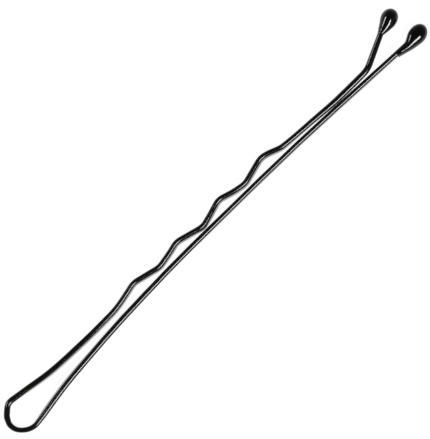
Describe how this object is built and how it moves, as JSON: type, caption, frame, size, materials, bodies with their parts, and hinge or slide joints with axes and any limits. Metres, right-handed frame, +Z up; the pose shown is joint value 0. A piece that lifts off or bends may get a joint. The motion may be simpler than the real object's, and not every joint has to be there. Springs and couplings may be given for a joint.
{
  "type": "bobby pin",
  "caption": "Hair grip of flattened spring wire: a round bow joins a straight and a wavy leg that press together, with a bead on each tip.",
  "frame": {"origin": "middle of the pin's outline, at the height of the table that its beads rest on", "axes": "+X along the pin from the bow to the tips, parallel to the level stretch of the straight leg; +Y in the plane of the bow, from the straight leg to the wavy leg; +Z up, across the width of the wire"},
  "size_m": [0.06, 0.006, 0.0018],
  "materials": {
    "lacquered_wire": "gloss black baked lacquer on flattened spring steel",
    "bead_plastic": "gloss black dipped plastic"
  },
  "bodies": {
    "bow": {"bow": "lacquered_wire"},
    "straight_leg": {"straight_leg": "lacquered_wire", "straight_leg_bead": "bead_plastic"},
    "wavy_leg": {"wavy_leg": "lacquered_wire", "wavy_leg_bead": "bead_plastic"}
  },
  "joints": [
    {"name": "wavy_leg_flex", "type": "hinge", "parent": "bow", "child": "wavy_leg", "pos_m": [-0.01895, 0.00001, 0.0009], "axis": [0, 0, 1], "range_deg": [0, 8], "stiffness_Nm_per_rad": 0.11, "springref_deg": -8.59},
    {"name": "straight_leg_flex", "type": "hinge", "parent": "bow", "child": "straight_leg", "pos_m": [-0.01895, -0.00148, 0.0009], "axis": [0, 0, -1], "range_deg": [0, 8], "stiffness_Nm_per_rad": 0.11, "springref_deg": -8.59}
  ],
  "couplings": [
    {"joint": "straight_leg_flex", "follows": "wavy_leg_flex", "ratio": 1}
  ]
}
